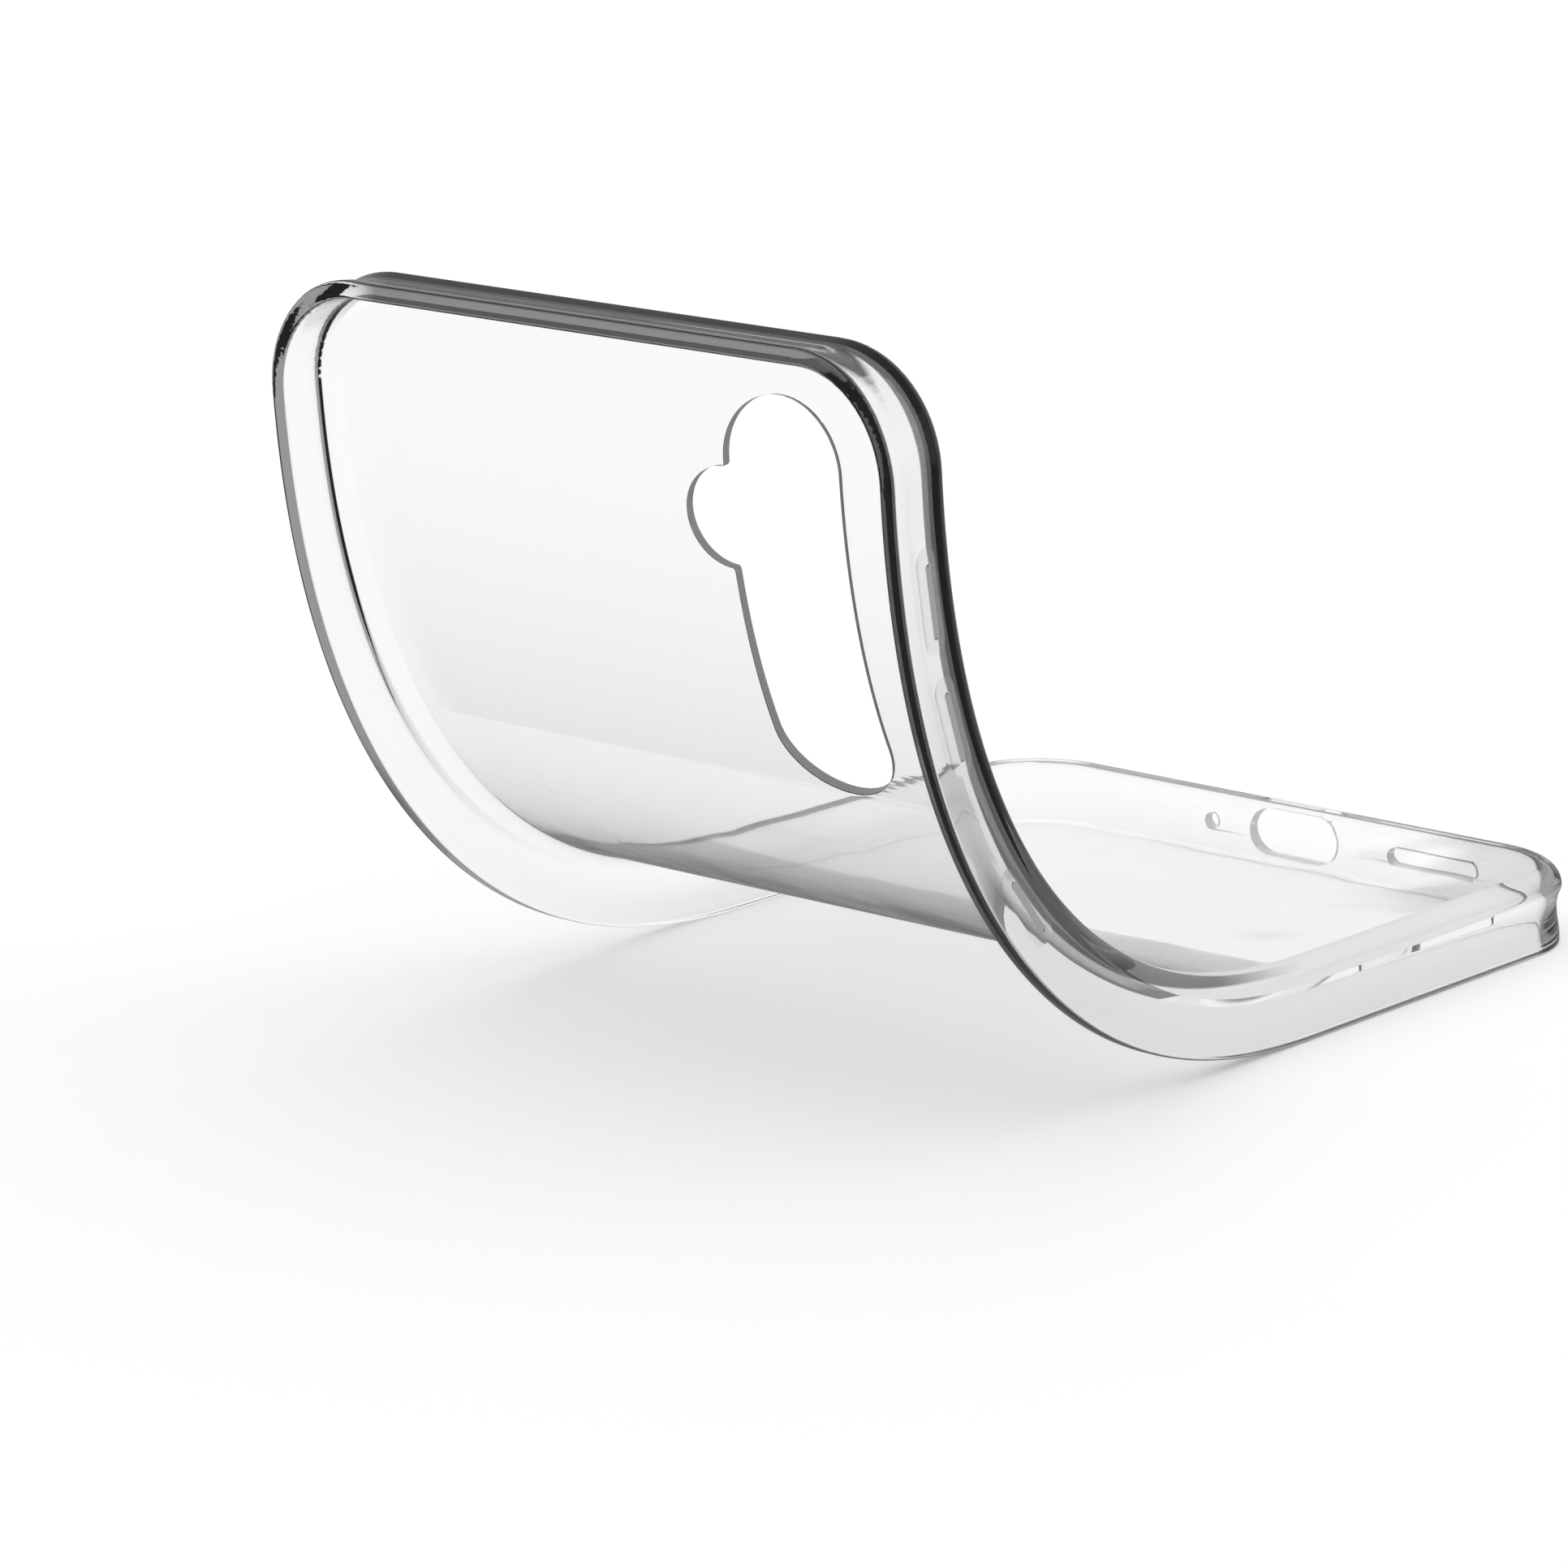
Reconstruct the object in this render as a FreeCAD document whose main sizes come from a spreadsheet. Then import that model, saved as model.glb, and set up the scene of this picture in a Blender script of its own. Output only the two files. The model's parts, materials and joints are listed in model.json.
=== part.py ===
import FreeCAD, Part

import math
import os

import Sketcher

# Flexible clear phone case, seen half peeled off its phone.
#
# The case is one soft moulding: a thin back with a wall all round it. It is
# drawn here flat, as it leaves the mould, then sliced across into a foot tray,
# a row of narrow flex strips and a head end. Each slice turns a few degrees
# about the middle of the back, so that the row curls up from the foot tray.
#
# Frame: +X towards the foot end, keys on the -Y side, +Z out of the back.
# The origin is on the seat, the inside of the back that the phone lies
# against, at the middle of the foot tray. Millimetres and degrees.

DRIVING_SIZES = [
    # The room for the phone
    ("pocket_length", 161.0, "inside, foot wall to head wall"),
    ("pocket_width", 77.0, "inside, side wall to side wall"),
    ("pocket_depth", 7.8, "seat to rim: phone 7.5 and a lip of 0.3"),
    ("pocket_corner", 9.8, "plan radius of the inside corners"),
    # The moulding
    ("wall", 1.9, "side and end walls"),
    ("back", 1.0, "back panel"),
    ("edge_round", 2.4, "outside round from wall to back"),
    ("seat_round", 1.2, "inside round from wall to seat"),
    ("rim_round", 0.4, "rounds on both edges of the rim"),
    # Camera opening, measured from the head wall and from the keys-side wall
    ("lens_slot_from_head", 26.7, "head wall to middle of the slot"),
    ("lens_slot_from_side", 18.5, "keys-side wall to middle of the slot"),
    ("lens_slot_length", 43.6, "overall"),
    ("lens_slot_width", 14.4, "overall"),
    ("flash_from_head", 18.1, "head wall to centre of the flash lobe"),
    ("flash_from_side", 25.8, "keys-side wall to centre of the flash lobe"),
    ("flash_radius", 5.2, "flash lobe"),
    ("notch_round", 0.5, "where the lobe meets the slot"),
    # Openings in the foot wall, measured from the middle of the width
    ("port_width", 12.0, "charging port opening"),
    ("port_height", 5.6, "charging port opening"),
    ("speaker_offset", 19.0, "middle of the case to middle of the slot"),
    ("speaker_width", 12.0, "speaker slot"),
    ("speaker_height", 2.0, "speaker slot"),
    ("mic_offset", 11.5, "middle of the case to the microphone hole"),
    ("mic_radius", 0.9, "microphone hole"),
    # Key covers on the keys side, measured from the head wall
    ("power_from_head", 55.8, "head wall to middle of the power cover"),
    ("volume_down_from_head", 33.8, "head wall to middle of the cover"),
    ("volume_up_from_head", 21.2, "head wall to middle of the cover"),
    ("cover_length", 10.2, "each key cover"),
    ("cover_height", 3.0, "each key cover"),
    ("cover_drop", 3.9, "seat to middle of the cover"),
    ("cover_proud", 0.25, "cover stands out of the wall"),
    ("cover_round", 0.2, "outer edge of the cover"),
    ("cover_travel", 0.3, "press, from rest to stop"),
    ("membrane", 0.95, "wall left behind a cover"),
    ("stop_gap", 0.05, "cover to membrane at full press"),
    ("clear_along", 0.8, "cover to the end of its recess"),
    ("clear_across", 0.5, "cover to the side of its recess"),
    # The slices
    ("strip_pitch", 5.5, "bend line to bend line"),
    ("head_length", 13.5, "last bend line to head wall"),
    ("strip_gap", 0.2, "between neighbouring slices when flat"),
    # The curl: how far the back has turned at a distance from the foot wall
    ("bend_total", 104.3, "turn that the curl tends to"),
    ("bend_lead", 3.9, "the back starts to lift this far before the first bend line"),
    ("bend_spread", 73.0, "how slowly it turns"),
    ("bend_shape", 1.61, "how gently it starts"),
]
STRIP_COUNT = 17
# Worked out in the sheet. A longer case has a longer foot tray, and the same curl.
DERIVED_SIZES = [
    ("foot_length", f"=pocket_length - head_length - {STRIP_COUNT} * strip_pitch",
     "foot wall to first bend line"),
    ("bend_start", "=foot_length - bend_lead", "foot wall to where the back starts to lift"),
]
ALIASES = [row[0] for row in DRIVING_SIZES + DERIVED_SIZES]

PLAN = "XY_Plane"
KEYS_SIDE = "XZ_Plane"
FOOT_END = "YZ_Plane"


# ---------------------------------------------------------------- document

doc = FreeCAD.newDocument("phone_case")
sheet = doc.addObject("Spreadsheet::Sheet", "sizes")
for row, (alias, value, note) in enumerate(DRIVING_SIZES + DERIVED_SIZES, start=1):
    sheet.set(f"A{row}", alias)
    sheet.set(f"B{row}", str(value))
    sheet.set(f"C{row}", note)
    sheet.setAlias(f"B{row}", alias)
doc.recompute()


def size(alias):
    """The value that the sheet holds for a dimension."""
    return float(getattr(sheet, alias))


def bind(item, **formulas):
    """Tie properties of an object to formulas in the sheet's aliases."""
    for name, formula in formulas.items():
        text = formula
        for alias in ALIASES:
            text = text.replace(f"[{alias}]", f"sizes.{alias}")
        item.setExpression(name.replace("__", "."), text)


# ---------------------------------------------------------------- sketches

def new_sketch(body, name, plane, x, y, lift):
    """A sketch on one of the body's own planes, moved to a formula's place."""
    sketch = body.newObject("Sketcher::SketchObject", name)
    role = [part for part in body.Origin.OriginFeatures if part.Role == plane]
    sketch.AttachmentSupport = [(role[0], "")]
    sketch.MapMode = "FlatFace"
    bind(sketch, AttachmentOffset__Base__x=x, AttachmentOffset__Base__y=y,
         AttachmentOffset__Base__z=lift)
    return sketch


def bind_constraint(sketch, constraint, name, formula):
    """Name a constraint and tie its value to the sheet."""
    sketch.renameConstraint(constraint, name)
    bind(sketch, **{f"Constraints__{name}": formula})


def draw_rounded_rectangle(sketch, across, up, corner):
    """A rectangle with round corners, centred on the sketch's origin."""
    vector = FreeCAD.Vector
    half_x, half_y, radius = 20.0, 10.0, 4.0
    # Each side runs anticlockwise and is followed by the corner at its end
    sides = [((-half_x, -half_y - radius), (half_x, -half_y - radius), (half_x, -half_y)),
             ((half_x + radius, -half_y), (half_x + radius, half_y), (half_x, half_y)),
             ((half_x, half_y + radius), (-half_x, half_y + radius), (-half_x, half_y)),
             ((-half_x - radius, half_y), (-half_x - radius, -half_y), (-half_x, -half_y))]
    for number, (start, end, centre) in enumerate(sides):
        sketch.addGeometry(Part.LineSegment(vector(*start, 0), vector(*end, 0)))
        circle = Part.Circle(vector(*centre, 0), vector(0, 0, 1), radius)
        begin = (number - 1) * math.pi / 2
        sketch.addGeometry(Part.ArcOfCircle(circle, begin, begin + math.pi / 2))
    for line in (0, 2, 4, 6):
        sketch.addConstraint(Sketcher.Constraint("Tangent", line, 2, line + 1, 1))
        sketch.addConstraint(Sketcher.Constraint("Tangent", line + 1, 2, (line + 2) % 8, 1))
    for line, direction in ((0, "Horizontal"), (4, "Horizontal"), (2, "Vertical"), (6, "Vertical")):
        sketch.addConstraint(Sketcher.Constraint(direction, line))
    for arc in (3, 5, 7):
        sketch.addConstraint(Sketcher.Constraint("Equal", 1, arc))
    sketch.addConstraint(Sketcher.Constraint("Symmetric", 1, 3, 5, 3, -1, 1))
    wide = sketch.addConstraint(Sketcher.Constraint("DistanceX", 0, 1, 0, 2, 2 * half_x))
    high = sketch.addConstraint(Sketcher.Constraint("DistanceY", 2, 1, 2, 2, 2 * half_y))
    turn = sketch.addConstraint(Sketcher.Constraint("Radius", 1, radius))
    bind_constraint(sketch, wide, "straight_across", f"{across} - 2 * ({corner})")
    bind_constraint(sketch, high, "straight_up", f"{up} - 2 * ({corner})")
    bind_constraint(sketch, turn, "corner", corner)


def draw_stadium(sketch, across, up):
    """A slot with round ends, centred on the sketch's origin."""
    vector = FreeCAD.Vector
    half, radius = 3.0, 2.0
    quarter = math.pi / 2
    sketch.addGeometry(Part.LineSegment(vector(-half, -radius, 0), vector(half, -radius, 0)))
    sketch.addGeometry(Part.LineSegment(vector(half, radius, 0), vector(-half, radius, 0)))
    right = Part.Circle(vector(half, 0, 0), vector(0, 0, 1), radius)
    left = Part.Circle(vector(-half, 0, 0), vector(0, 0, 1), radius)
    sketch.addGeometry(Part.ArcOfCircle(right, -quarter, quarter))
    sketch.addGeometry(Part.ArcOfCircle(left, quarter, 3 * quarter))
    for line, line_end, arc, arc_end in ((0, 2, 2, 1), (1, 1, 2, 2), (1, 2, 3, 1), (0, 1, 3, 2)):
        sketch.addConstraint(Sketcher.Constraint("Tangent", line, line_end, arc, arc_end))
    for line in (0, 1):
        sketch.addConstraint(Sketcher.Constraint("Horizontal", line))
    sketch.addConstraint(Sketcher.Constraint("Symmetric", 2, 3, 3, 3, -1, 1))
    straight = sketch.addConstraint(Sketcher.Constraint("DistanceX", 0, 1, 0, 2, 2 * half))
    round_end = sketch.addConstraint(Sketcher.Constraint("Radius", 2, radius))
    bind_constraint(sketch, straight, "straight", f"{across} - ({up})")
    bind_constraint(sketch, round_end, "round_end", f"({up}) / 2")


def draw_circle(sketch, radius):
    """A circle centred on the sketch's origin."""
    sketch.addGeometry(Part.Circle(FreeCAD.Vector(0, 0, 0), FreeCAD.Vector(0, 0, 1), 2.0))
    sketch.addConstraint(Sketcher.Constraint("Coincident", 0, 3, -1, 1))
    value = sketch.addConstraint(Sketcher.Constraint("Radius", 0, 2.0))
    bind_constraint(sketch, value, "radius", radius)


# ---------------------------------------------------------------- features

def pad(body, sketch, length):
    """Raise a sketch by a formula's length."""
    feature = body.newObject("PartDesign::Pad", f"{sketch.Name}_pad")
    feature.Profile = sketch
    bind(feature, Length=length)
    doc.recompute()
    return feature


def pocket(body, sketch, depth, reverse=False):
    """Cut a sketch by a formula's depth, and check that something was cut."""
    before = body.Shape.Volume
    feature = body.newObject("PartDesign::Pocket", f"{sketch.Name}_cut")
    feature.Profile = sketch
    feature.Reversed = reverse
    bind(feature, Length=depth)
    doc.recompute()
    if body.Shape.Volume > before - 1e-3:
        raise RuntimeError(f"{sketch.Name} cuts nothing")
    return feature


def fillet(body, name, chosen, radius):
    """Round the edges of the body that a test chooses."""
    edges = [f"Edge{number}" for number, edge in enumerate(body.Shape.Edges, start=1)
             if chosen(edge)]
    if not edges:
        raise RuntimeError(f"{name} finds no edge")
    rounded = body.Tip
    feature = body.newObject("PartDesign::Fillet", name)
    feature.Base = (rounded, edges)
    bind(feature, Radius=radius)
    doc.recompute()
    return feature


def upright(edge):
    """Whether an edge is straight and runs along Z."""
    return edge.BoundBox.ZLength > 0.5 and edge.BoundBox.DiagonalLength < edge.BoundBox.ZLength + 1e-4


def level(edge, height):
    """Whether an edge lies all at one height."""
    return abs(edge.BoundBox.ZMin - height) < 1e-4 and abs(edge.BoundBox.ZMax - height) < 1e-4


# ------------------------------------------------- the moulding, drawn flat

MIDDLE_X = "[foot_length] / 2 - [pocket_length] / 2"
HEAD_WALL_X = "[foot_length] / 2 - [pocket_length]"
KEYS_WALL_Y = "-[pocket_width] / 2"
PORT_HEIGHT = "-[pocket_depth] / 2"

moulding = doc.addObject("PartDesign::Body", "moulding")

outline = new_sketch(moulding, "outline", PLAN, MIDDLE_X, "0", "-[pocket_depth]")
draw_rounded_rectangle(outline, "[pocket_length] + 2 * [wall]", "[pocket_width] + 2 * [wall]",
                       "[pocket_corner] + [wall]")
pad(moulding, outline, "[pocket_depth] + [back]")
hollow = new_sketch(moulding, "hollow", PLAN, MIDDLE_X, "0", "-[pocket_depth]")
draw_rounded_rectangle(hollow, "[pocket_length]", "[pocket_width]", "[pocket_corner]")
pocket(moulding, hollow, "[pocket_depth]", reverse=True)

fillet(moulding, "back_edge", lambda edge: level(edge, size("back")), "[edge_round]")
fillet(moulding, "seat_edge", lambda edge: level(edge, 0.0), "[seat_round]")
fillet(moulding, "rim", lambda edge: level(edge, -size("pocket_depth")), "[rim_round]")

# Camera opening: one slot for the row of lenses, with a lobe for the flash
lens_slot = new_sketch(moulding, "lens_slot", PLAN, f"{HEAD_WALL_X} + [lens_slot_from_head]",
                       f"{KEYS_WALL_Y} + [lens_slot_from_side]", "[back]")
draw_stadium(lens_slot, "[lens_slot_length]", "[lens_slot_width]")
pocket(moulding, lens_slot, "[back]")

flash_lobe = new_sketch(moulding, "flash_lobe", PLAN, f"{HEAD_WALL_X} + [flash_from_head]",
                        f"{KEYS_WALL_Y} + [flash_from_side]", "[back]")
draw_circle(flash_lobe, "[flash_radius]")
pocket(moulding, flash_lobe, "[back]")


def at_notch(edge):
    """Whether an upright edge is a point left between the slot and the lobe."""
    slot_edge = -size("pocket_width") / 2 + size("lens_slot_from_side") + size("lens_slot_width") / 2
    lobe_x = size("foot_length") / 2 - size("pocket_length") + size("flash_from_head")
    rise = size("lens_slot_from_side") + size("lens_slot_width") / 2 - size("flash_from_side")
    reach = math.sqrt(size("flash_radius") ** 2 - rise ** 2)
    middle = edge.CenterOfMass
    return (upright(edge) and abs(middle.y - slot_edge) < 1e-3
            and abs(abs(middle.x - lobe_x) - reach) < 1e-3)


fillet(moulding, "notches", at_notch, "[notch_round]")

# Openings in the foot wall
FOOT_FACE_X = "[foot_length] / 2 + [wall]"
port = new_sketch(moulding, "port", FOOT_END, "0", PORT_HEIGHT, FOOT_FACE_X)
draw_stadium(port, "[port_width]", "[port_height]")
pocket(moulding, port, "[wall]")
speaker = new_sketch(moulding, "speaker", FOOT_END, "-[speaker_offset]", PORT_HEIGHT, FOOT_FACE_X)
draw_stadium(speaker, "[speaker_width]", "[speaker_height]")
pocket(moulding, speaker, "[wall]")
mic = new_sketch(moulding, "mic", FOOT_END, "[mic_offset]", PORT_HEIGHT, FOOT_FACE_X)
draw_circle(mic, "[mic_radius]")
pocket(moulding, mic, "[wall]")


# -------------------------------------------------------------- key covers

# Each cover lies in a recess of the wall and slides in towards the phone's key.
KEYS = {
    "power_key_cover": "[power_from_head]",
    "volume_down_cover": "[volume_down_from_head]",
    "volume_up_cover": "[volume_up_from_head]",
}
covers = {}
for label, from_head in KEYS.items():
    key_x = f"{HEAD_WALL_X} + {from_head}"
    recess = new_sketch(moulding, f"{label}_recess", KEYS_SIDE, key_x, "-[cover_drop]",
                        "[pocket_width] / 2 + [wall]")
    draw_stadium(recess, "[cover_length] + 2 * [clear_along]",
                 "[cover_height] + 2 * [clear_across]")
    pocket(moulding, recess, "[wall] - [membrane]")

    cover = doc.addObject("PartDesign::Body", label)
    cover.Label = label
    face = new_sketch(cover, f"{label}_outline", KEYS_SIDE, key_x, "-[cover_drop]",
                      "[pocket_width] / 2 + [membrane] + [cover_travel] + [stop_gap]")
    draw_stadium(face, "[cover_length]", "[cover_height]")
    pad(cover, face, "[wall] + [cover_proud] - [membrane] - [cover_travel] - [stop_gap]")
    outer_y = -(size("pocket_width") / 2 + size("wall") + size("cover_proud"))
    fillet(cover, f"{label}_edge", lambda edge: edge.BoundBox.YMax < outer_y + 1e-3,
           "[cover_round]")
    covers[label] = cover


# ------------------------------------------------------- the curl, by slices

def bend(distance):
    """How far the back has turned, in degrees, at a distance from the foot wall."""
    along = max(distance - size("bend_start"), 0.0) / size("bend_spread")
    return size("bend_total") * (1.0 - math.exp(-along ** size("bend_shape")))


pitch = size("strip_pitch")

# The placement of every slice in order: the foot tray, the strips, the head end
placements = [FreeCAD.Placement()]
turned = 0.0
for number in range(STRIP_COUNT + 1):
    line_distance = size("foot_length") + number * pitch
    length = pitch if number < STRIP_COUNT else size("head_length") + size("wall")
    turn = bend(line_distance + length / 2)
    bend_line = FreeCAD.Vector(size("foot_length") / 2 - line_distance, 0, size("back") / 2)
    fold = FreeCAD.Placement(FreeCAD.Vector(0, 0, 0),
                             FreeCAD.Rotation(FreeCAD.Vector(0, 1, 0), turn - turned), bend_line)
    placements.append(placements[-1].multiply(fold))
    turned = turn


def slice_case(label, low_x, length, placement, side="whole"):
    """The stretch of the moulding between two heights along X, put in its place."""
    edge_y = "[pocket_width] / 2 + 2 * [wall]"
    slot_y = f"({KEYS_WALL_Y} + [lens_slot_from_side])"
    low_y = slot_y if side == "far_side" else f"-({edge_y})"
    high_y = slot_y if side == "keys_side" else f"({edge_y})"
    knife = doc.addObject("Part::Box", f"{label}_knife")
    bind(knife, Placement__Base__x=low_x, Length=length,
         Placement__Base__y=low_y, Width=f"{high_y} - ({low_y})",
         Placement__Base__z="-[pocket_depth] - [back]", Height="[pocket_depth] + 3 * [back]")
    piece = doc.addObject("Part::Common", label)
    piece.Base = moulding
    piece.Tool = knife
    piece.Label = label
    piece.Placement = placement
    return piece


def sides_of_strip(number):
    """The camera slot parts a strip that lies wholly beside it into two pieces."""
    foot_edge = size("pocket_length") - size("foot_length") - number * pitch
    head_edge = foot_edge - pitch
    slot_foot = size("lens_slot_from_head") + size("lens_slot_length") / 2
    slot_head = size("lens_slot_from_head") - size("lens_slot_length") / 2
    beside_slot = foot_edge < slot_foot and head_edge > slot_head
    return ("keys_side", "far_side") if beside_slot else ("whole",)


foot_tray = slice_case("foot_tray", "-[foot_length] / 2 + [strip_gap] / 2",
                       "[foot_length] + 2 * [wall]", placements[0])
strips = []
for number in range(STRIP_COUNT):
    for side in sides_of_strip(number):
        label = f"flex_strip_{number + 1:02d}" + ("" if side == "whole" else f"_{side}")
        strips.append(slice_case(
            label, f"-[foot_length] / 2 - {number + 1} * [strip_pitch] + [strip_gap] / 2",
            "[strip_pitch] - [strip_gap]", placements[number + 1], side))
head_end = slice_case("head_end", f"{HEAD_WALL_X} - 2 * [wall]",
                      "[head_length] + 2 * [wall] - [strip_gap] / 2", placements[-1])

# A cover is carried by the strip that its middle lies on
for label, from_head in KEYS.items():
    key_distance = size("pocket_length") - size(from_head.strip("[]"))
    carrier = int((key_distance - size("foot_length")) // pitch) + 1
    covers[label].Placement = placements[carrier]
    print(f"{label} is carried by strip {carrier}")
doc.recompute()


# ------------------------------------------------------------------ output

pieces = [foot_tray, *strips, head_end, *covers.values()]
for item in doc.Objects:
    if {"Invalid", "Error"} & set(item.State):
        raise RuntimeError(f"{item.Label} did not build")
for piece in pieces:
    if piece.Shape.isNull() or not piece.Shape.isValid() or len(piece.Shape.Solids) != 1:
        raise RuntimeError(f"{piece.Label} is not one good solid")

os.makedirs("parts", exist_ok=True)
for piece in pieces:
    piece.Shape.exportStep(f"parts/{piece.Label}.step")
print(len(pieces), "pieces,", round(sum(p.Shape.Volume for p in pieces) / 1000, 2), "cm3")
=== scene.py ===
import json
import math

import bmesh
import bpy
import numpy as np
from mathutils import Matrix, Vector


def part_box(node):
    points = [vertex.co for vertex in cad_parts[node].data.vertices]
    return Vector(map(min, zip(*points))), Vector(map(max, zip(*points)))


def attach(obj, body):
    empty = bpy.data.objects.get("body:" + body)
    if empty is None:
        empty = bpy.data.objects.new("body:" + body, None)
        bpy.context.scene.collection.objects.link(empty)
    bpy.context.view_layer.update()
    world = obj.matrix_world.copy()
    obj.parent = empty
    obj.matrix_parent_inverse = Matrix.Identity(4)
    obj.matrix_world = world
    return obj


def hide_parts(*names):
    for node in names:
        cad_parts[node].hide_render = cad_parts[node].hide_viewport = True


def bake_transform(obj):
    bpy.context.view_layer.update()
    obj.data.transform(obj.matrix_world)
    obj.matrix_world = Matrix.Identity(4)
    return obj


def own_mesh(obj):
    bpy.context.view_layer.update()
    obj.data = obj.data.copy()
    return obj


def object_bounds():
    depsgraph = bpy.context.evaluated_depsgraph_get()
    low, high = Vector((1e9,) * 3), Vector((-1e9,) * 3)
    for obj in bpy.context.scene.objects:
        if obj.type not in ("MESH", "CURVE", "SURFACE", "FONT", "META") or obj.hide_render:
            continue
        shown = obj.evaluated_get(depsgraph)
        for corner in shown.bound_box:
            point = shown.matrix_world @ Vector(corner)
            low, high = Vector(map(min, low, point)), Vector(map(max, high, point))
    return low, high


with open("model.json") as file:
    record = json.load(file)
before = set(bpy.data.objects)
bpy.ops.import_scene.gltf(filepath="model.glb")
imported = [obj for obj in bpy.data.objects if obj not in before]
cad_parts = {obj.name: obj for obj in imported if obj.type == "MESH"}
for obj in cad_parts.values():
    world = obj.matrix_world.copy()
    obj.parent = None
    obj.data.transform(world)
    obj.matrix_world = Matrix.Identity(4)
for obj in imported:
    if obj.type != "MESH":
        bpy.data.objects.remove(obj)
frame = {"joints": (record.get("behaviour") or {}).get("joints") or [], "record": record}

cad_box = [list(corner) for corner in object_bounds()]

# Clear phone case
#
# One soft moulding of clear TPU, half peeled off: the foot half lies flat and
# the head half curls up. It is modelled flat, as it leaves the mould, and then
# curled. All sizes are metres in the frame of the CAD.


# ------------------------------------------------------------------- camera
# A long lens, low down and looking across the case from its head end on the
# keys side.

camera_data = bpy.data.cameras.new("camera")
camera_data.lens = 142.3
camera_data.sensor_width = 36.0
camera_data.clip_start = 0.01
camera_data.clip_end = 20.0
camera = bpy.data.objects.new("camera", camera_data)
bpy.context.scene.collection.objects.link(camera)
camera.location = (-0.53927, -0.39409, 0.17374)
camera.rotation_euler = (math.radians(76.034), math.radians(-0.301), math.radians(-50.240))
bpy.context.scene.camera = camera
bpy.context.scene.view_settings.view_transform = "Standard"


# ------------------------------------------------------------------- studio
# A wide white table under a plain white sky. In its gloss the plastic mirrors
# a greyer table and room, with three lit panels.

def linear(code):
    """The linear colour of an sRGB hex value."""
    channels = [int(code[i:i + 2], 16) / 255 for i in (1, 3, 5)]
    return [c / 12.92 if c <= 0.04045 else ((c + 0.055) / 1.055) ** 2.4 for c in channels] + [1.0]


def add_node(tree, kind, settings=(), **links):
    """A shader node with its settings, and its inputs given values or linked to sockets."""
    node = tree.nodes.new(kind)
    for name, value in dict(settings).items():
        setattr(node, name, value)
    for name, value in links.items():
        socket = node.inputs[int(name[1:])] if name[0] == "i" and name[1:].isdigit() \
            else node.inputs[name.replace("_", " ")]
        if isinstance(value, bpy.types.NodeSocket):
            tree.links.new(value, socket)
        else:
            socket.default_value = value
    return node


floor_z = cad_box[0][2]
bpy.ops.object.select_all(action="DESELECT")
bpy.ops.mesh.primitive_circle_add(vertices=96, radius=3.0, fill_type="NGON",
                                  location=(0.0, 0.0, floor_z))
table = bpy.context.object
table.name = "table"
bpy.ops.object.transform_apply(location=True, rotation=True, scale=True)
matt_white = bpy.data.materials.new("matt_white_laminate")
matt_white.use_nodes = True
table_tree = matt_white.node_tree
table_shader = table_tree.nodes["Principled BSDF"]
table_shader.inputs["Roughness"].default_value = 0.9
table_shader.inputs["Specular IOR Level"].default_value = 0.0
light_path = add_node(table_tree, "ShaderNodeLightPath")
mirrored = add_node(table_tree, "ShaderNodeMath", {"operation": "GREATER_THAN"},
                    i0=light_path.outputs["Glossy Depth"], i1=0.5)
table_colour = add_node(table_tree, "ShaderNodeMix", {"data_type": "RGBA"},
                        i0=mirrored.outputs[0], i6=linear("#FBFBFB"), i7=linear("#CECECE"))
table_tree.links.new(table_colour.outputs[2], table_shader.inputs["Base Color"])
table.data.materials.append(matt_white)

sky = bpy.data.worlds.new("studio_sky")
sky.use_nodes = True
bpy.context.scene.world = sky
sky_tree = sky.node_tree
sky_tree.nodes.clear()
direction = add_node(sky_tree, "ShaderNodeTexCoord")
LIT_PANELS = (
    ((0.775, 0.590, 0.225), 0.0022, "#FFFFFF"),
    ((-0.75, 0.35, 0.55), 0.12, "#FFFFFF"),
    ((0.35, -0.90, 0.25), 0.05, "#D0D0D0"),
)
room_shade = linear("#B0B0B1")
for toward, size, shade in LIT_PANELS:
    nearness = add_node(sky_tree, "ShaderNodeVectorMath", {"operation": "DOT_PRODUCT"},
                        i0=direction.outputs["Generated"], i1=Vector(toward).normalized())
    panel_edge = add_node(sky_tree, "ShaderNodeMapRange", {"interpolation_type": "SMOOTHSTEP"},
                          Value=nearness.outputs["Value"], From_Min=1.0 - size * 1.3,
                          From_Max=1.0 - size)
    panel = add_node(sky_tree, "ShaderNodeMix", {"data_type": "RGBA"}, i0=panel_edge.outputs[0],
                     i6=room_shade, i7=linear(shade))
    room_shade = panel.outputs[2]
light_path = add_node(sky_tree, "ShaderNodeLightPath")
mirrored = add_node(sky_tree, "ShaderNodeMath", {"operation": "GREATER_THAN"},
                    i0=light_path.outputs["Glossy Depth"], i1=0.5)
sky_colour = add_node(sky_tree, "ShaderNodeMix", {"data_type": "RGBA"}, i0=mirrored.outputs[0],
                      i6=linear("#FFFFFF"), i7=room_shade)
glow = add_node(sky_tree, "ShaderNodeBackground", i0=sky_colour.outputs[2], Strength=1.06)
add_node(sky_tree, "ShaderNodeOutputWorld", i0=glow.outputs[0])


# --------------------------------------------------------------- clear TPU
# Injection-moulded thermoplastic polyurethane from a polished mould: clear as
# water, glossy, with the slightest waviness where the thin walls shrank.

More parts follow.
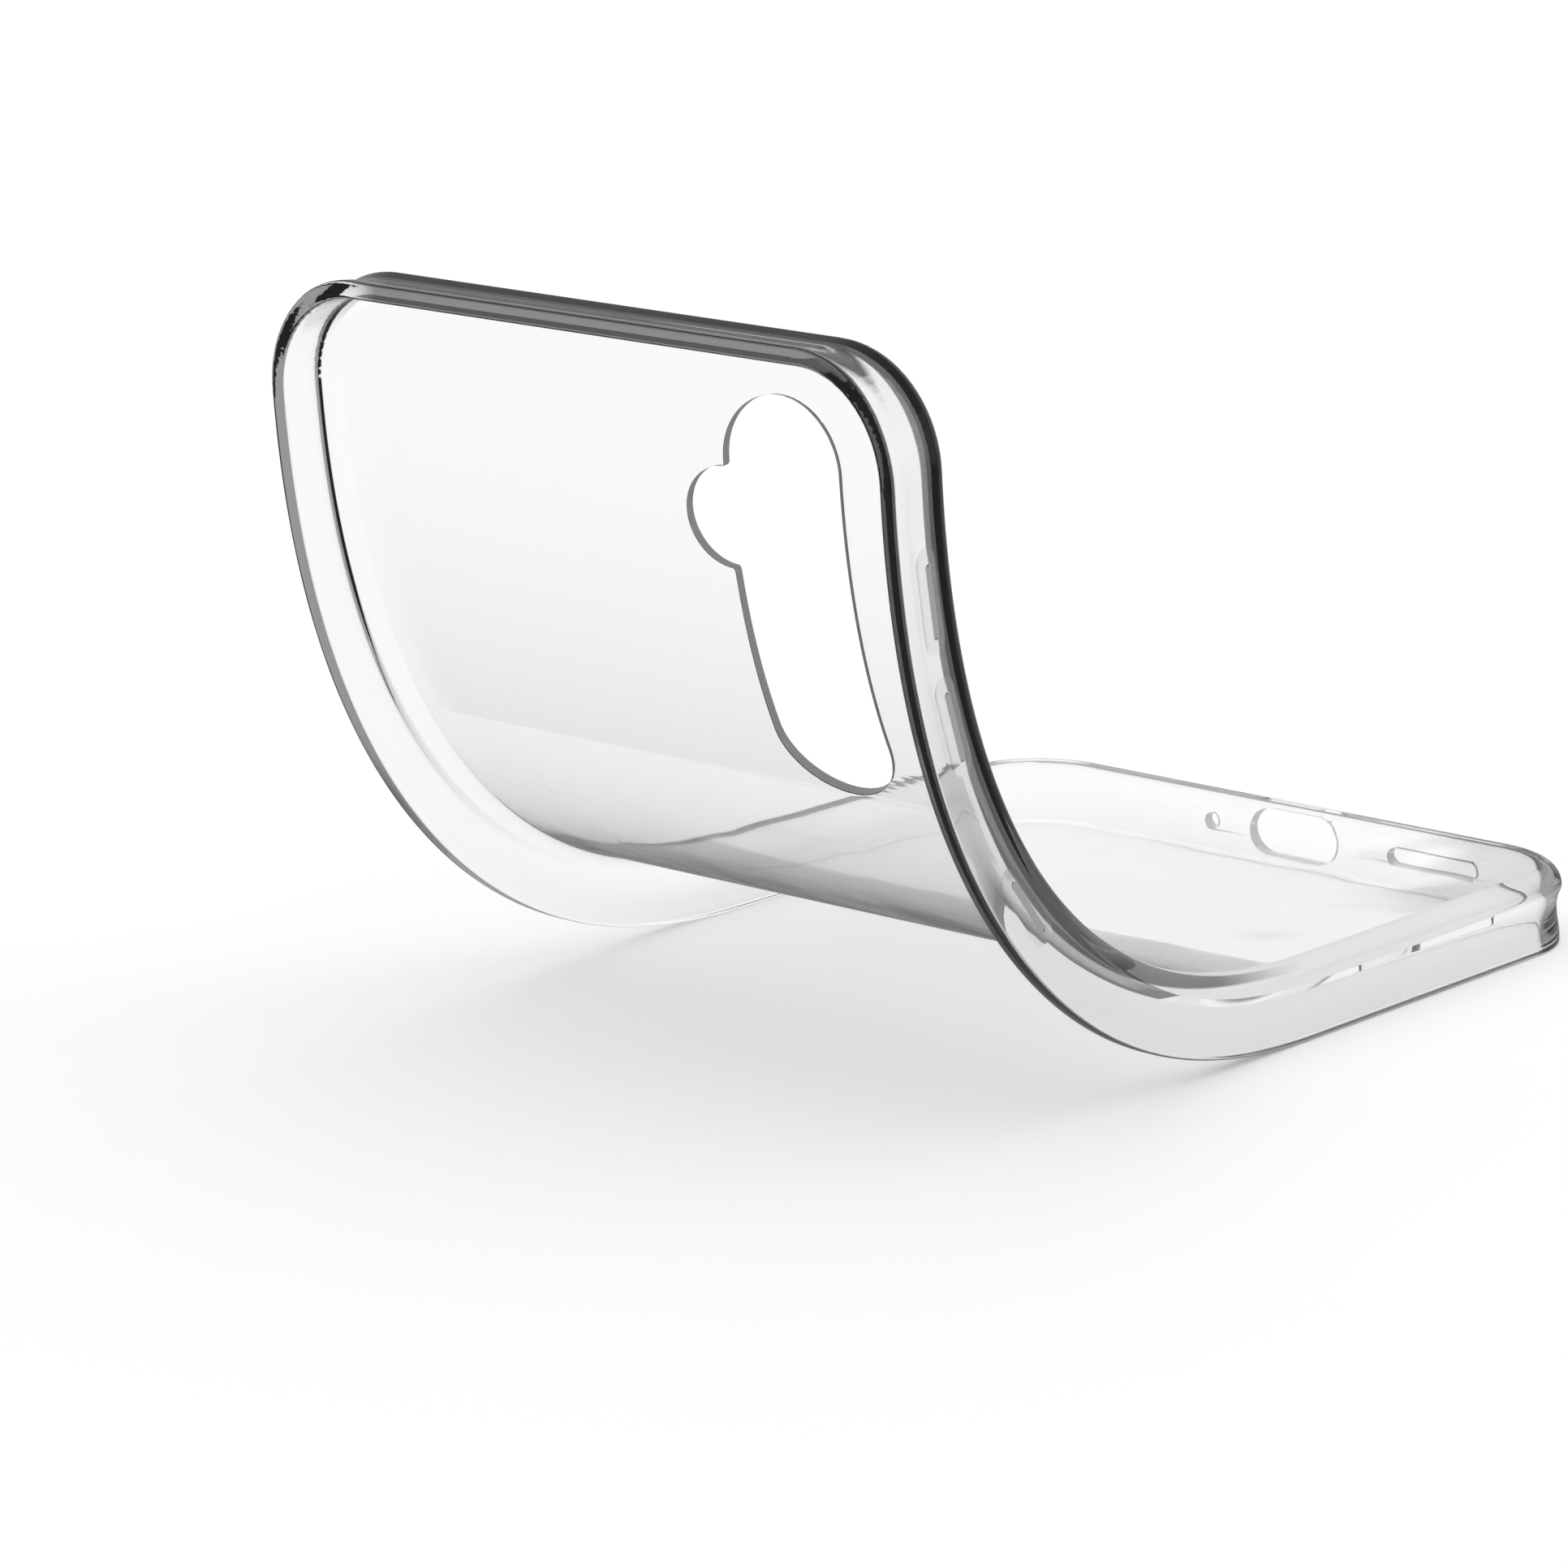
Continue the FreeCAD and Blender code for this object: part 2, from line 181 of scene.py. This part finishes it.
clear_tpu = bpy.data.materials.new("clear_moulded_tpu")
clear_tpu.use_nodes = True
tpu_tree = clear_tpu.node_tree
tpu_shader = tpu_tree.nodes["Principled BSDF"]
tpu_shader.inputs["Roughness"].default_value = 0.02
tpu_shader.inputs["IOR"].default_value = 1.49
place = add_node(tpu_tree, "ShaderNodeTexCoord")
waves = add_node(tpu_tree, "ShaderNodeTexNoise", i0=place.outputs["Object"], Scale=70.0, Detail=1.0)
ripple = add_node(tpu_tree, "ShaderNodeBump", Height=waves.outputs[0], Strength=0.25,
                  Distance=0.0002)
tpu_tree.links.new(ripple.outputs[0], tpu_shader.inputs["Normal"])

# The skin keeps its place in the mould, in metres: how far in from the outside,
# how far across, how high, and how far along from the foot wall. These places
# steer painted shade: grey is painted into the colour of the rim, of the round of
# the back, of the inner corner at the head, of walls met at a grazing angle, of
# the cut faces of the lens slot and faintly of the curled back, in place of the
# grey that clear plastic shows from the light it reflects and carries in its walls.
in_mould = add_node(tpu_tree, "ShaderNodeAttribute", {"attribute_name": "moulded"})
moulded_axes = add_node(tpu_tree, "ShaderNodeSeparateXYZ", i0=in_mould.outputs["Vector"])
inwards, across, up = moulded_axes.outputs
along = add_node(tpu_tree, "ShaderNodeAttribute", {"attribute_name": "along"}).outputs["Fac"]
facing = add_node(tpu_tree, "ShaderNodeLayerWeight", Blend=0.5).outputs["Facing"]
leaving = add_node(tpu_tree, "ShaderNodeNewGeometry").outputs["Backfacing"]

# Each step goes from 0 to 1 as its measure goes from the first value to the
# second. The sums join the steps into masks of painted shade, and the painted
# shades are laid on in their order.
tint = {"up": up, "leaving": leaving}
STEPS = {
    "in_curl": (along, 0.052, 0.070),
    "in_upright": (along, 0.085, 0.115),
    "up_the_curl": (along, 0.060, 0.112),
    "near_head": (along, 0.147, 0.157),
    "head_end": (along, 0.154, 0.158),
    "below_head": (along, 0.152, 0.085),
    "past_foot": (along, 0.054, 0.075),
    "outer_skin": (inwards, 0.0016, 0.0013),
    "inner_skin": (inwards, 0.0026, 0.0021),
    "off_wall": (inwards, 0.0024, 0.0050),
    "well_inside": (inwards, 0.0040, 0.0050),
    "keys_side": (across, 0.030, 0.010),
    "short_of_corner": (across, 0.030, 0.025),
    "at_rim": (up, -0.0075, -0.0077),
    "above_seat": (up, 0.00004, 0.00014),
    "below_back": (up, 0.00096, 0.00086),
    "at_grazing": (facing, 0.50, 0.64),
}
for name, (value, low, high) in STEPS.items():
    step = add_node(tpu_tree, "ShaderNodeMapRange", {"interpolation_type": "SMOOTHSTEP"},
                    Value=value, From_Min=low, From_Max=high)
    tint[name] = step.outputs[0]
SUMS = (
    ("entering", "SUBTRACT", 1.0, "leaving"),
    # Painted shade: a faint grey on the inner skin near the head, feeding the grazing-angle darkening.
    ("painted_inner_corner_shade", "MULTIPLY", "inner_skin", "near_head"),
    ("painted_inner_corner_shade", "MULTIPLY", "painted_inner_corner_shade", 0.35),
    ("wall_skin", "MAXIMUM", "outer_skin", "painted_inner_corner_shade"),
    # Painted shade: the outer skin of the upright curl, and faintly its inner corner at the head, is
    # painted near black where it is seen at a grazing angle from outside.
    ("painted_grazing_shade", "MULTIPLY", "wall_skin", "in_upright"),
    ("painted_grazing_shade", "MULTIPLY", "painted_grazing_shade", "at_grazing"),
    ("painted_grazing_shade", "MULTIPLY", "painted_grazing_shade", "entering"),
    # Painted shade: a dark band in the colour along the outer round of the back in the curl, whose edge
    # climbs as the curl rises.
    ("band_height", "MULTIPLY", "up_the_curl", 0.0032),
    ("band_height", "ADD", "band_height", "up"),
    ("round_of_back", "MULTIPLY", "band_height", 5000.0),
    ("round_of_back", "MAXIMUM", "round_of_back", 0.0),
    ("round_of_back", "MINIMUM", "round_of_back", 1.0),
    ("round_of_back", "MULTIPLY", "round_of_back", "outer_skin"),
    ("round_of_back", "MULTIPLY", "round_of_back", "in_curl"),
    # Painted shade on the rim face: dark on the keys side and at the head end short of the corner, and
    # only lightly grey on the far side, as light falls on it.
    ("head_rim", "MULTIPLY", "head_end", "short_of_corner"),
    ("rim", "MAXIMUM", "keys_side", "head_rim"),
    ("rim", "MULTIPLY", "rim", 0.85),
    ("rim", "ADD", "rim", 0.15),
    ("rim", "MULTIPLY", "rim", "at_rim"),
    ("painted_band_shade", "MAXIMUM", "round_of_back", "rim"),
    ("painted_band_shade", "MULTIPLY", "painted_band_shade", "entering"),
    # Painted shade: the back between the walls, past the foot and below the head, is painted a faint
    # grey.
    ("panel", "MULTIPLY", "below_head", "past_foot"),
    ("panel", "MULTIPLY", "panel", "off_wall"),
    # Painted shade on the cut faces round the lens slot: they are painted mid-grey and made mostly
    # opaque.
    ("painted_slot_edge_grey", "MULTIPLY", "above_seat", "below_back"),
    ("painted_slot_edge_grey", "MULTIPLY", "painted_slot_edge_grey", "well_inside"),
    ("clearness", "MULTIPLY", "painted_slot_edge_grey", 0.9),
    ("clearness", "SUBTRACT", 1.0, "clearness"),
)
for name, operation, first, second in SUMS:
    result = add_node(tpu_tree, "ShaderNodeMath", {"operation": operation},
                      i0=tint.get(first, first), i1=tint.get(second, second))
    tint[name] = result.outputs[0]
# The painted shades, each laid over the clear colour by its mask.
PAINTED_SHADES = (
    ("panel", "#E9EAEB"),
    ("painted_slot_edge_grey", "#8A8A8A"),
    ("painted_band_shade", "#4A4A4A"),
    ("painted_grazing_shade", "#181818"),
)
tpu_colour = linear("#FEFEFE")
for name, shade in PAINTED_SHADES:
    tinted = add_node(tpu_tree, "ShaderNodeMix", {"data_type": "RGBA"}, i0=tint[name],
                      i6=tpu_colour, i7=linear(shade))
    tpu_colour = tinted.outputs[2]
tpu_tree.links.new(tpu_colour, tpu_shader.inputs["Base Color"])
# Where the slot's cut faces carry painted grey, less light passes through, so the painted grey shows.
tpu_tree.links.new(tint["clearness"], tpu_shader.inputs["Transmission Weight"])


# ------------------------------------------------------- the moulding, flat
# A thin back with a wall all round, drawn as it leaves the mould. The back's
# outer edge is a wide round, and the rim and the inner corner small ones.

WALL, SEAT_Z = 0.0019, 0.0
foot_low, foot_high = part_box("foot_tray")
CASE_LENGTH, CORNER = 0.1648, 0.0117
RIM_ROUND, BACK_ROUND, SEAT_ROUND = 0.0004, 0.0024, 0.0012
rim_z, back_z = foot_low.z, foot_high.z
foot_x, side_y = foot_high.x, foot_high.y
head_x = foot_x - CASE_LENGTH


def choose(kind, test):
    """Selects the edges or faces that a test picks in the mesh being edited, and no others."""
    bpy.ops.mesh.select_mode(type=kind)
    bpy.ops.mesh.select_all(action="DESELECT")
    shape = bmesh.from_edit_mesh(bpy.context.edit_object.data)
    found = 0
    for item in (shape.edges if kind == "EDGE" else shape.faces):
        if test(item):
            item.select_set(True)
            found += 1
    bmesh.update_edit_mesh(bpy.context.edit_object.data)
    if not found:
        raise RuntimeError("a selection found nothing")


def at_height(edge, height):
    """Whether both ends of an edge are at one height."""
    return all(abs(v.co.z - height) < 1e-6 for v in edge.verts)


bpy.ops.object.select_all(action="DESELECT")
bpy.ops.mesh.primitive_cube_add(
    size=1.0, location=((head_x + foot_x) / 2, 0.0, (rim_z + back_z) / 2))
case = bpy.context.object
case.name = "case"
case.scale = (CASE_LENGTH, 2 * side_y, back_z - rim_z)
bpy.ops.object.transform_apply(location=True, rotation=True, scale=True)
bpy.ops.object.mode_set(mode="EDIT")
choose("EDGE", lambda edge: abs(edge.verts[0].co.z - edge.verts[1].co.z) > 1e-3)
bpy.ops.mesh.bevel(offset=CORNER, segments=18, affect="EDGES")
choose("FACE", lambda face: face.normal.z < -0.9)
bpy.ops.mesh.inset(thickness=WALL)
bpy.ops.mesh.extrude_region_move(TRANSFORM_OT_translate={"value": (0.0, 0.0, SEAT_Z - rim_z)})
choose("EDGE", lambda edge: at_height(edge, back_z))
bpy.ops.mesh.bevel(offset=BACK_ROUND, segments=9, affect="EDGES")

# The outer wall is a little hollow, by the sink of the moulding.
SINK, SINK_STEPS = 0.0002, 7
flat_low, flat_high = rim_z + RIM_ROUND, back_z - BACK_ROUND
for number in range(1, SINK_STEPS):
    share = number / SINK_STEPS
    height = flat_low + (flat_high - flat_low) * share
    bpy.ops.mesh.select_all(action="SELECT")
    bpy.ops.mesh.bisect(plane_co=(0.0, 0.0, height), plane_no=(0.0, 0.0, 1.0), threshold=1e-6)
    choose("EDGE", lambda edge: at_height(edge, height) and edge.link_faces[0].normal.dot(
        edge.verts[0].co - Vector(((head_x + foot_x) / 2, 0.0, height))) > 0)
    bpy.ops.transform.shrink_fatten(value=-4 * SINK * share * (1 - share))
choose("EDGE", lambda edge: at_height(edge, SEAT_Z))
bpy.ops.mesh.bevel(offset=SEAT_ROUND, segments=6, affect="EDGES")
choose("EDGE", lambda edge: at_height(edge, rim_z))
bpy.ops.mesh.bevel(offset=RIM_ROUND, segments=5, affect="EDGES")
bpy.ops.object.mode_set(mode="OBJECT")


# ------------------------------------------------------------ the openings
# One slot for the row of lenses, with a round lobe for the flash, and in the
# foot wall the charging port, the speaker slot and the microphone hole.

def cut(block):
    """Takes a block's shape out of the case, and removes the block."""
    taken = case.modifiers.new("opening", "BOOLEAN")
    taken.operation, taken.solver, taken.object = "DIFFERENCE", "EXACT", block
    bpy.context.view_layer.objects.active = case
    bpy.ops.object.modifier_apply(modifier=taken.name)
    bpy.data.objects.remove(block)


def round_block(name, place, length, width, depth, turn, steps=48):
    """A block with round ends: a cylinder whose two halves are drawn apart."""
    bpy.ops.object.select_all(action="DESELECT")
    bpy.ops.mesh.primitive_cylinder_add(vertices=steps, radius=width / 2, depth=depth,
                                        rotation=(0.0, 0.0, math.pi / steps))
    block = bpy.context.object
    block.name = name
    bpy.ops.object.transform_apply(location=True, rotation=True, scale=True)
    if length > width:
        bpy.ops.object.mode_set(mode="EDIT")
        for side in (-1, 1):
            bpy.ops.mesh.select_mode(type="VERT")
            bpy.ops.mesh.select_all(action="DESELECT")
            shape = bmesh.from_edit_mesh(block.data)
            for vertex in shape.verts:
                vertex.select_set(vertex.co.x * side > 0)
            bmesh.update_edit_mesh(block.data)
            bpy.ops.transform.translate(value=(side * (length - width) / 2, 0.0, 0.0))
        bpy.ops.object.mode_set(mode="OBJECT")
    block.rotation_euler = turn
    block.location = place
    bpy.ops.object.transform_apply(location=True, rotation=True, scale=True)
    return block


head_wall_x, keys_wall_y = head_x + WALL, -side_y + WALL
SLOT_LENGTH, SLOT_WIDTH, NOTCH_ROUND = 0.0436, 0.0144, 0.0005
slot_y = keys_wall_y + 0.0185
lobe_x, lobe_y, lobe_radius = head_wall_x + 0.0181, keys_wall_y + 0.0258, 0.0052
slot = round_block("slot", (head_wall_x + 0.0267, slot_y, 0.0), SLOT_LENGTH, SLOT_WIDTH, 0.006,
                   (0.0, 0.0, 0.0), steps=96)
lobe = round_block("lobe", (lobe_x, lobe_y, 0.0), 0.0, 2 * lobe_radius, 0.006, (0.0, 0.0, 0.0),
                   steps=64)
joined = slot.modifiers.new("lobe", "BOOLEAN")
joined.operation, joined.solver, joined.object = "UNION", "EXACT", lobe
bpy.context.view_layer.objects.active = slot
bpy.ops.object.modifier_apply(modifier=joined.name)
bpy.data.objects.remove(lobe)
reach = math.sqrt(lobe_radius ** 2 - (lobe_y - slot_y - SLOT_WIDTH / 2) ** 2)
bpy.ops.object.select_all(action="DESELECT")
slot.select_set(True)
bpy.ops.object.mode_set(mode="EDIT")
choose("EDGE", lambda edge: abs(edge.verts[0].co.z - edge.verts[1].co.z) > 1e-3
       and all(abs(v.co.y - slot_y - SLOT_WIDTH / 2) < 1e-4
               and abs(abs(v.co.x - lobe_x) - reach) < 3e-4 for v in edge.verts))
bpy.ops.mesh.bevel(offset=NOTCH_ROUND, segments=5, affect="EDGES")
bpy.ops.object.mode_set(mode="OBJECT")
cut(slot)

wall_middle = (foot_x - WALL / 2, 0.0, rim_z / 2)
along_wall = (math.radians(90), 0.0, math.radians(90))
cut(round_block("port", wall_middle, 0.012, 0.0056, 0.004, along_wall))
cut(round_block("speaker", (wall_middle[0], -0.019, wall_middle[2]), 0.012, 0.002, 0.004,
                along_wall, steps=24))
cut(round_block("microphone", (wall_middle[0], 0.0115, wall_middle[2]), 0.0, 0.0018, 0.004,
                along_wall, steps=24))


def is_opening_edge(edge):
    """Whether an edge goes round an opening: a sharp one that lies in a face of the back or foot wall."""
    if len(edge.link_faces) != 2 or edge.calc_face_angle() < math.radians(60):
        return False
    middle = (edge.verts[0].co + edge.verts[1].co) / 2
    in_back = min(abs(middle.z - back_z), abs(middle.z - SEAT_Z)) < 1e-6
    in_foot = min(abs(middle.x - foot_x), abs(middle.x - foot_x + WALL)) < 1e-6
    return in_back or in_foot


bpy.ops.object.select_all(action="DESELECT")
case.select_set(True)
bpy.context.view_layer.objects.active = case
bpy.ops.object.mode_set(mode="EDIT")
bpy.ops.mesh.select_all(action="SELECT")
bpy.ops.mesh.remove_doubles(threshold=1e-7)
choose("EDGE", is_opening_edge)
bpy.ops.mesh.bevel(offset=0.00012, segments=2, affect="EDGES")
bpy.ops.object.mode_set(mode="OBJECT")


# ----------------------------------------------------------------- the curl
# The case is parted across at close, even steps. Then, from the head end on,
# all that lies beyond each line is turned a little about the middle of the
# back, which curls the back and stretches the rim.

JOINT_STEP, FINE_STEPS = 0.0055, 8
FIRST_SEAM, CURL_LINES = 0.05125, 160
CURL_START, CURL_SPREAD, CURL_SHAPE = 0.0501, 0.073, 1.61
FULL_TURN = math.radians(104.3)
foot_wall_x = foot_x - WALL
line_step = JOINT_STEP / FINE_STEPS
curl_lines = [FIRST_SEAM + line_step * number for number in range(CURL_LINES)]


def lift(distance):
    """How far the back has turned, in radians, at a distance from the foot wall."""
    past_start = max(distance - CURL_START, 0.0) / CURL_SPREAD
    return FULL_TURN * (1.0 - math.exp(-past_start ** CURL_SHAPE))


def curl(flat):
    """Curls a flat mesh, line by line."""
    bpy.ops.object.select_all(action="DESELECT")
    flat.select_set(True)
    bpy.context.view_layer.objects.active = flat
    bpy.ops.object.mode_set(mode="EDIT")
    bpy.ops.mesh.select_mode(type="VERT")
    bpy.ops.mesh.select_all(action="DESELECT")
    shape = bmesh.from_edit_mesh(flat.data)
    waiting = sorted(shape.verts, key=lambda vertex: -vertex.co.x)
    for distance in reversed(curl_lines):
        line_x = foot_wall_x - distance
        while waiting and waiting[-1].co.x < line_x - 1e-6:
            waiting.pop().select_set(True)
        turn = lift(distance + line_step / 2) - lift(distance - line_step / 2)
        if turn > 1e-6 and shape.verts and any(vertex.select for vertex in shape.verts):
            bmesh.update_edit_mesh(flat.data)
            bpy.ops.transform.rotate(value=-turn, orient_axis="Y", orient_type="GLOBAL",
                                     center_override=(line_x, 0.0, back_z / 2))
            shape = bmesh.from_edit_mesh(flat.data)
    bpy.ops.object.mode_set(mode="OBJECT")


bpy.ops.object.mode_set(mode="EDIT")
for distance in curl_lines:
    bpy.ops.mesh.select_all(action="SELECT")
    bpy.ops.mesh.bisect(plane_co=(foot_wall_x - distance, 0.0, 0.0), plane_no=(1.0, 0.0, 0.0),
                        threshold=1e-6)
bpy.ops.object.mode_set(mode="OBJECT")
face_distance = [foot_wall_x - face.center.x for face in case.data.polygons]
moulded = case.data.attributes.new("moulded", "FLOAT_VECTOR", "POINT")
for vertex, item in zip(case.data.vertices, moulded.data):
    from_side, from_head = side_y - abs(vertex.co.y), vertex.co.x - head_x
    inwards = min(from_side, from_head)
    if max(from_side, from_head) < CORNER:
        inwards = CORNER - math.hypot(CORNER - from_side, CORNER - from_head)
    item.vector = (inwards, vertex.co.y, vertex.co.z)
from_foot = case.data.attributes.new("along", "FLOAT", "POINT")
for vertex, item in zip(case.data.vertices, from_foot.data):
    item.value = foot_wall_x - vertex.co.x
curl(case)


# ------------------------------------------------------------- the lengths
# One skin, shaded as one, in lengths that each bend from one slice of the CAD
# to the next. They meet at the middles of the slices.

bpy.ops.object.shade_smooth()
even = case.modifiers.new("even_shading", "WEIGHTED_NORMAL")
even.mode, even.weight = "FACE_AREA", 80
bpy.ops.object.modifier_apply(modifier=even.name)
case.data.materials.append(clear_tpu)

hinges = {joint["child"]: joint for joint in frame["joints"] if joint["type"] == "hinge"}
slices = ["root"] + [f"strip_{number:02d}" for number in range(1, len(hinges))] + ["head"]
bend_points = [Vector(hinges[child]["pos_m"]) for child in slices[1:]]


def length_of_case(name, low, high):
    """A copy of the part of the case that lies between two distances from the foot wall."""
    length = case.copy()
    length.data = case.data.copy()
    length.name = length.data.name = name
    bpy.context.scene.collection.objects.link(length)
    bpy.ops.object.select_all(action="DESELECT")
    length.select_set(True)
    bpy.context.view_layer.objects.active = length
    bpy.ops.object.mode_set(mode="EDIT")
    choose("FACE", lambda face: not low < face_distance[face.index] < high)
    bpy.ops.mesh.delete(type="FACE")
    bpy.ops.object.mode_set(mode="OBJECT")
    shading = length.modifiers.new("shading_of_the_whole", "DATA_TRANSFER")
    shading.object = case
    shading.use_loop_data = True
    shading.data_types_loops = {"CUSTOM_NORMAL"}
    shading.loop_mapping = "NEAREST_POLYNOR"
    bpy.ops.object.modifier_apply(modifier=shading.name)
    # The flat lengths lie on the table, which stays bright through clear plastic.
    length.visible_shadow = low > FIRST_SEAM + 4 * JOINT_STEP
    return length


def slices_of(body):
    """The CAD nodes of a body."""
    return frame["record"]["behaviour"]["bodies"][body]


foot = length_of_case("case_foot", -1.0, FIRST_SEAM)
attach(foot, "root")
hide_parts("foot_tray")
for number, (before, after) in enumerate(zip(slices, slices[1:])):
    seam = FIRST_SEAM + number * JOINT_STEP
    bending = length_of_case(f"case_flex_{number + 1:02d}", seam, seam + JOINT_STEP)
    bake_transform(bending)
    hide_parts(*slices_of(after))
head = length_of_case("case_head", FIRST_SEAM + len(bend_points) * JOINT_STEP, 1.0)
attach(head, "head")
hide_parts("head_end")
bpy.data.objects.remove(case)


# -------------------------------------------------------------- key covers
# Three low raised bars on the keys side, each a thinned patch of the wall that
# gives under the thumb. In the real case a press flattens the bar against the wall; here each bar rides
# with its slice of the case and no press moves it.

COVER_LENGTH, COVER_HEIGHT, COVER_PROUD = 0.0102, 0.0030, 0.00025
COVER_DROP, COVER_SLOPE, TOP_ROUND = 0.0039, 0.0013, 0.0006
BAR_FOOT, CLEARANCE = 0.00002, 0.00001
COVERS = {
    "power_key_cover": (0.0558, "strip_10", "power_key_press"),
    "volume_down_cover": (0.0338, "strip_14", "volume_down_key_press"),
    "volume_up_cover": (0.0212, "strip_16", "volume_up_key_press"),
}
for name, (from_head, body, joint) in COVERS.items():
    middle = (head_wall_x + from_head, -side_y - BAR_FOOT / 2, -COVER_DROP)
    bar = round_block(f"{name}_bar", middle, COVER_LENGTH, COVER_HEIGHT, BAR_FOOT,
                      (math.radians(90), 0.0, 0.0), steps=32)
    bpy.ops.object.mode_set(mode="EDIT")
    choose("FACE", lambda face: face.normal.y < -0.9)
    bpy.ops.mesh.inset(thickness=COVER_SLOPE)
    bpy.ops.transform.translate(value=(0.0, BAR_FOOT - COVER_PROUD + CLEARANCE, 0.0))
    top_y = -side_y - COVER_PROUD + CLEARANCE
    choose("EDGE", lambda edge: all(v.co.y < top_y + CLEARANCE for v in edge.verts))
    bpy.ops.mesh.bevel(offset=TOP_ROUND, segments=4, affect="EDGES")
    bpy.ops.object.mode_set(mode="OBJECT")
    place_in_mould = bar.data.attributes.new("moulded", "FLOAT_VECTOR", "POINT")
    for item in place_in_mould.data:
        item.vector = (0.005, 0.0, -COVER_DROP)
    curl(bar)
    bpy.ops.object.shade_smooth()
    # A bar is shaded much like the wall that it lies on, so it hardly shows.
    wall_normal = Vector((0.0, -1.0, 0.0))
    corner_normals = [None] * len(bar.data.loops)
    for face in bar.data.polygons:
        shade_normal = face.normal.copy()
        if face.normal.y < -0.3:
            shade_normal = face.normal.lerp(wall_normal, 0.6).normalized()
        for corner in face.loop_indices:
            corner_normals[corner] = shade_normal
    bar.data.normals_split_custom_set(corner_normals)
    bar.data.materials.append(clear_tpu)
    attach(bar, body)
    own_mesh(bar)
    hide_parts(name)
